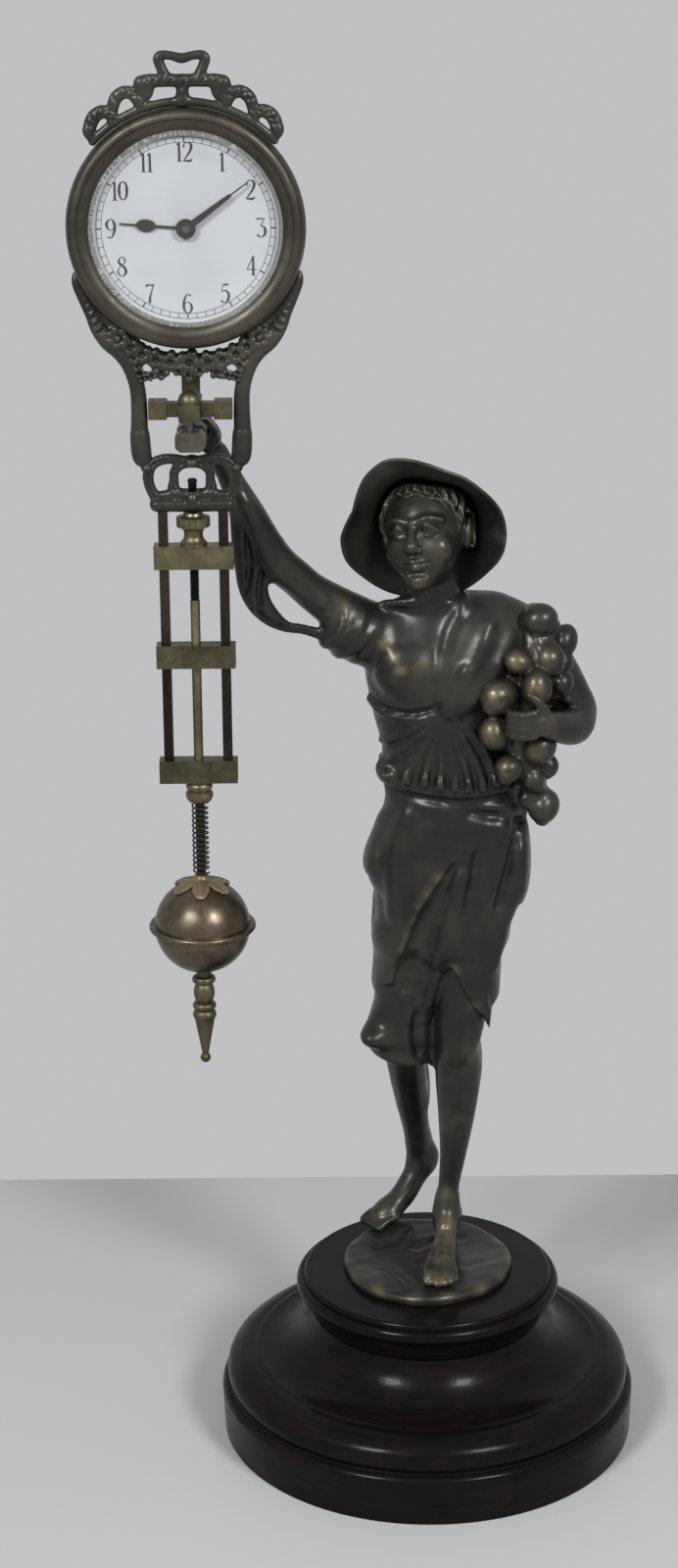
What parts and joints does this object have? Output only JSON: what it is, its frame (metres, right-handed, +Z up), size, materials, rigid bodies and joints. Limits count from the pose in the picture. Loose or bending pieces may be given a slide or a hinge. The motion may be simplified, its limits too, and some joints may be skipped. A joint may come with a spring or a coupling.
{
  "type": "mystery clock",
  "caption": "Free-standing swinging clock: a bronze boy on a turned wood plinth holds up a round clock whose case and gridiron pendulum swing as one on two points.",
  "frame": {"origin": "centre of the felt pad's underside, where the plinth stands", "axes": "+Z up, +X to the viewer's right, the dial faces -Y"},
  "size_m": [0.2095, 0.1664, 0.549],
  "materials": {
    "felt": "matt wool felt",
    "lacquered_wood": "glossy dark lacquer",
    "steel": "darkened steel",
    "bronze": "dark brown patina with rubbed high points",
    "case_bronze": "satin brown patina",
    "aged_brass": "aged satin brass",
    "copper_rod": "brown copper",
    "bob_brass": "mottled aged brass",
    "leaf_brass": "golden brass",
    "lead_fill": "plain casting",
    "silvered": "bright silvered",
    "glass": "clear",
    "dial_white": "white enamel",
    "hand_black": "black lacquer",
    "movement_brass": "bright brass"
  },
  "bodies": {
    "stand": {"felt_pad": "felt", "plinth_foot": "lacquered_wood", "plinth_cap": "lacquered_wood", "fixing_bolt": "steel", "fixing_washer": "steel", "ground_disc": "bronze", "figure_body": "bronze", "figure_head": "bronze", "hat": "bronze", "raised_arm": "bronze", "holding_arm": "bronze", "onion_bunch": "bronze", "hand_bracket": "aged_brass", "pivot_points": "steel", "bracket_screw": "steel"},
    "swing": {"case_drum": "case_bronze", "back_cover": "case_bronze", "bezel": "case_bronze", "sight_ring": "silvered", "glass": "glass", "dial": "dial_white", "front_plate": "movement_brass", "back_plate": "movement_brass", "plate_pillars": "movement_brass", "crest": "case_bronze", "lyre_frame": "case_bronze", "crossbar": "aged_brass", "crossbar_collars": "aged_brass", "pivot_saddle": "aged_brass", "ribbon_casting": "case_bronze", "outer_rods": "copper_rod", "upper_crosspiece": "aged_brass", "middle_crosspiece": "aged_brass", "lower_crosspiece": "aged_brass", "lower_collar": "aged_brass"},
    "minute": {"minute_hand": "hand_black", "centre_arbor": "steel", "centre_wheel": "movement_brass", "set_knob": "movement_brass"},
    "hour": {"hour_hand": "hand_black", "hour_wheel": "movement_brass"},
    "minute_gear": {"minute_wheel": "movement_brass"},
    "barrel": {"mainspring_barrel": "movement_brass", "mainspring": "steel"},
    "winder": {"barrel_arbor": "steel", "winding_key": "movement_brass"},
    "third": {"third_wheel": "movement_brass"},
    "escape": {"escape_wheel": "movement_brass"},
    "inner_swing": {"inner_pendulum": "movement_brass"},
    "nut": {"rating_nut": "aged_brass"},
    "bob": {"bob_rod": "aged_brass", "bob_spring": "steel", "leaf_cap": "leaf_brass", "bob_upper_shell": "bob_brass", "bob_lower_shell": "bob_brass", "bob_weight": "lead_fill", "finial": "aged_brass"}
  },
  "joints": [
    {"name": "clock_swing", "type": "hinge", "parent": "stand", "child": "swing", "pos_m": [-0.085, -0.045, 0.426], "axis": [0, 1, 0], "range_deg": [-6, 6]},
    {"name": "minute_turn", "type": "hinge", "parent": "swing", "child": "minute", "pos_m": [-0.085, -0.045, 0.489], "axis": [0, 1, 0], "continuous": true},
    {"name": "hour_turn", "type": "hinge", "parent": "swing", "child": "hour", "pos_m": [-0.085, -0.045, 0.489], "axis": [0, 1, 0], "continuous": true},
    {"name": "minute_wheel_turn", "type": "hinge", "parent": "swing", "child": "minute_gear", "pos_m": [-0.08625, -0.045, 0.49609], "axis": [0, 1, 0], "continuous": true},
    {"name": "barrel_turn", "type": "hinge", "parent": "swing", "child": "barrel", "pos_m": [-0.09569, -0.045, 0.47831], "axis": [0, 1, 0], "continuous": true},
    {"name": "third_turn", "type": "hinge", "parent": "swing", "child": "third", "pos_m": [-0.07145, -0.045, 0.49393], "axis": [0, 1, 0], "continuous": true},
    {"name": "escape_turn", "type": "hinge", "parent": "swing", "child": "escape", "pos_m": [-0.07552, -0.045, 0.50511], "axis": [0, 1, 0], "continuous": true},
    {"name": "winding_turn", "type": "hinge", "parent": "swing", "child": "winder", "pos_m": [-0.09569, -0.045, 0.47831], "axis": [0, 1, 0], "range_deg": [0, 2250]},
    {"name": "inner_swing_turn", "type": "hinge", "parent": "swing", "child": "inner_swing", "pos_m": [-0.079, -0.045, 0.5152], "axis": [0, 1, 0], "range_deg": [-4, 4]},
    {"name": "rating_turn", "type": "hinge", "parent": "swing", "child": "nut", "pos_m": [-0.085, -0.045, 0.383], "axis": [0, 0, 1], "range_deg": [-2881, 2881]},
    {"name": "bob_slide", "type": "slide", "parent": "swing", "child": "bob", "axis": [0, 0, 1], "range_m": [-0.006, 0.006], "deforming": ["bob_spring"]}
  ],
  "couplings": [
    {"joint": "hour_turn", "follows": "minute_turn", "ratio": 0.083333},
    {"joint": "minute_wheel_turn", "follows": "minute_turn", "ratio": -0.33333},
    {"joint": "barrel_turn", "follows": "minute_turn", "ratio": -0.16667},
    {"joint": "third_turn", "follows": "minute_turn", "ratio": -6},
    {"joint": "escape_turn", "follows": "minute_turn", "ratio": 36},
    {"joint": "rating_turn", "follows": "bob_slide", "rad_per_m": -8377.6}
  ]
}
